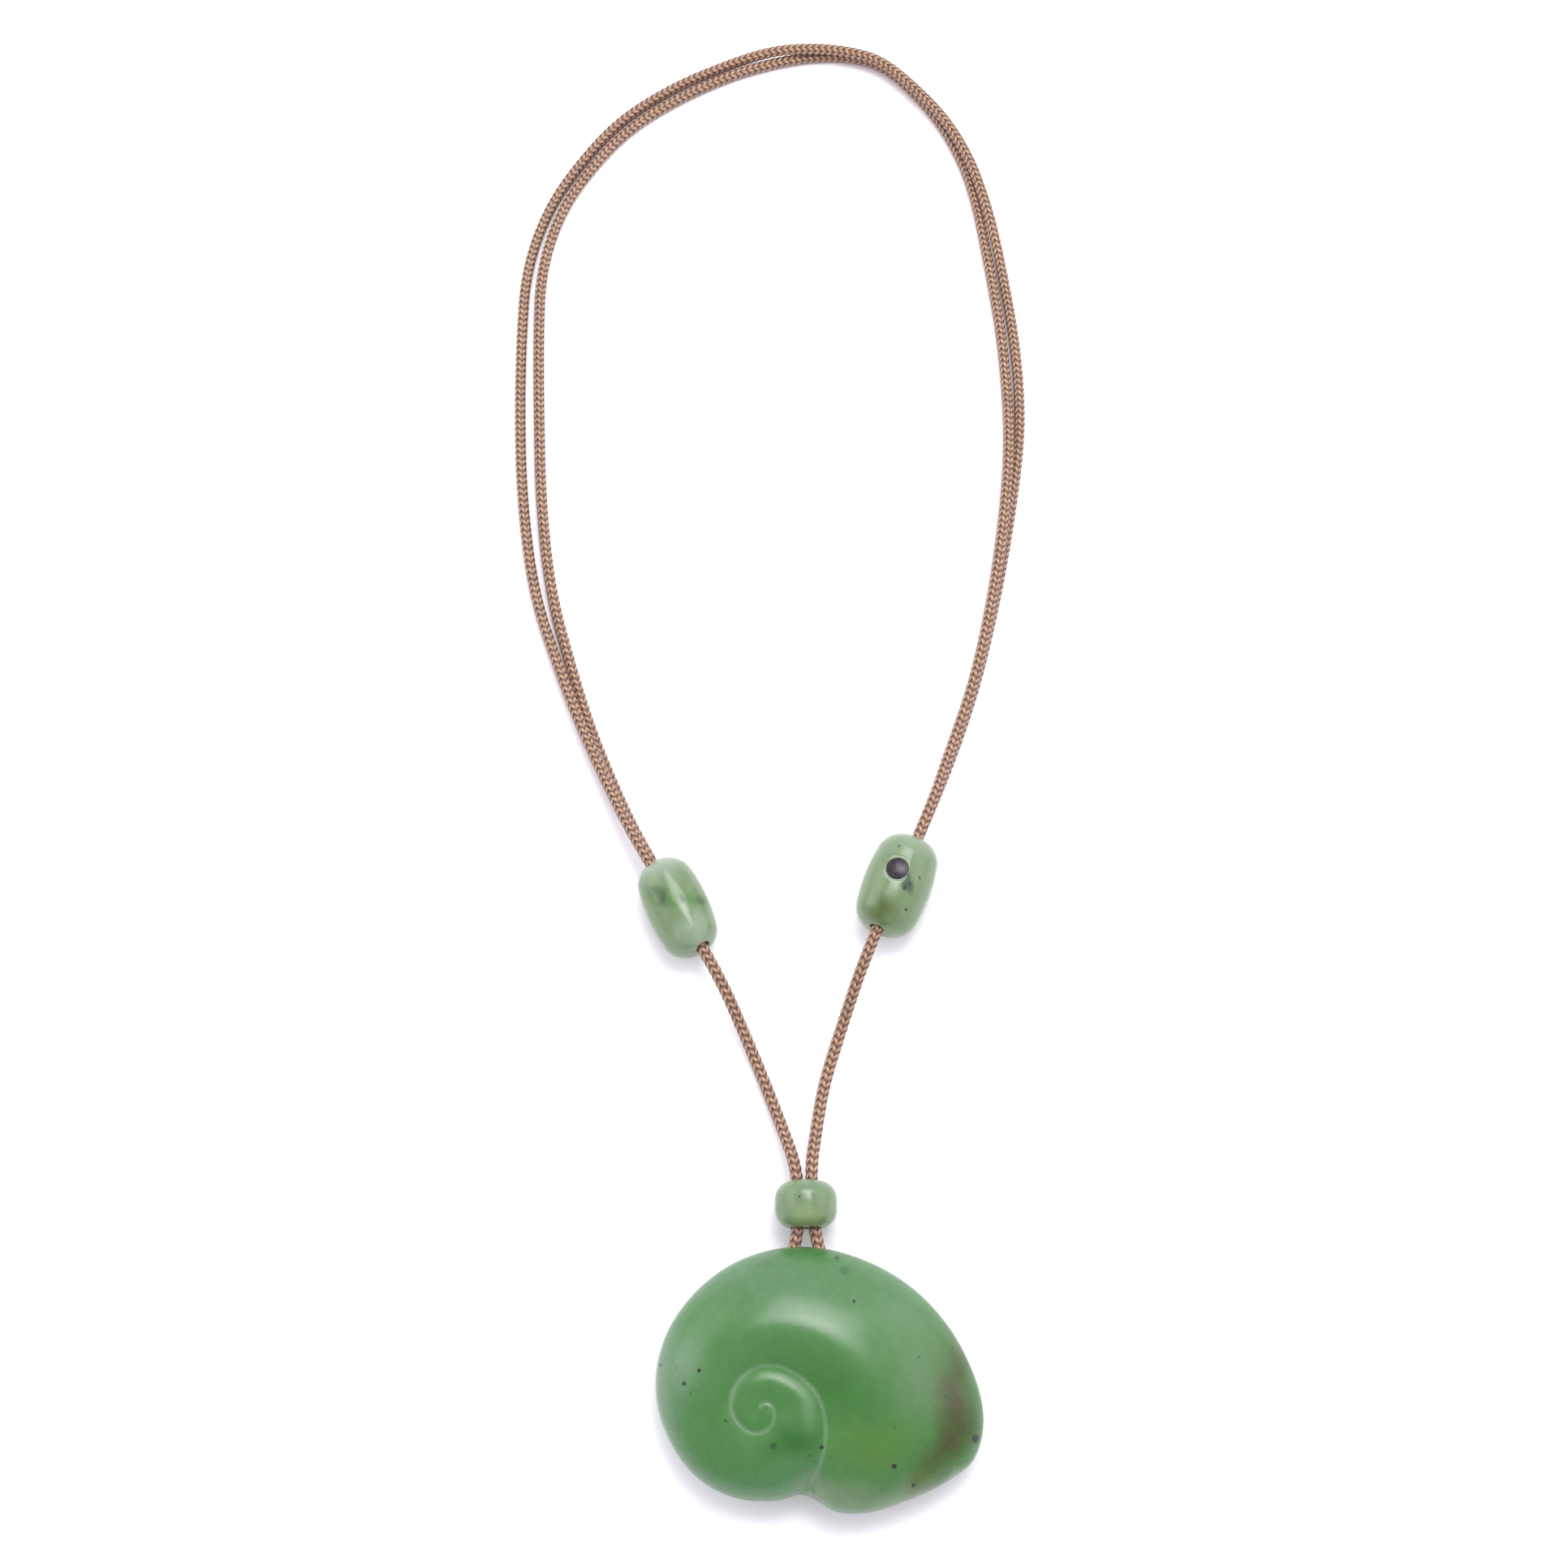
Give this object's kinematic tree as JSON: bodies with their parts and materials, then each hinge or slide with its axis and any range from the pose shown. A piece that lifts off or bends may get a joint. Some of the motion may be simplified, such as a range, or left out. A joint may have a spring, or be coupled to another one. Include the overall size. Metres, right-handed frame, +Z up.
{
  "type": "seashell pendant necklace",
  "caption": "Carved green stone snail-shell pendant with barrel beads on a doubled braided cord, lying flat as a closed loop.",
  "frame": {"origin": "on the flat back of the shell pendant, under the tip of its spiral, on the surface that the necklace lies on", "axes": "+Z up, out of the shell's carved front; +Y from the pendant towards the nape end of the cord; +X towards the shell's lip"},
  "size_m": [0.0903, 0.2595, 0.0135],
  "materials": {
    "pendant_stone": "satin polished, slightly translucent green jade",
    "bead_stone": "polished, slightly translucent pale green jade",
    "inlay": "polished dark shell",
    "cord": "round braided textile"
  },
  "bodies": {
    "root": {"shell_pendant": "pendant_stone", "spacer_bead": "bead_stone", "slide_bead_left": "bead_stone", "slide_bead_right": "bead_stone", "inlay_disc": "inlay", "neck_cord": "cord"}
  },
  "joints": []
}
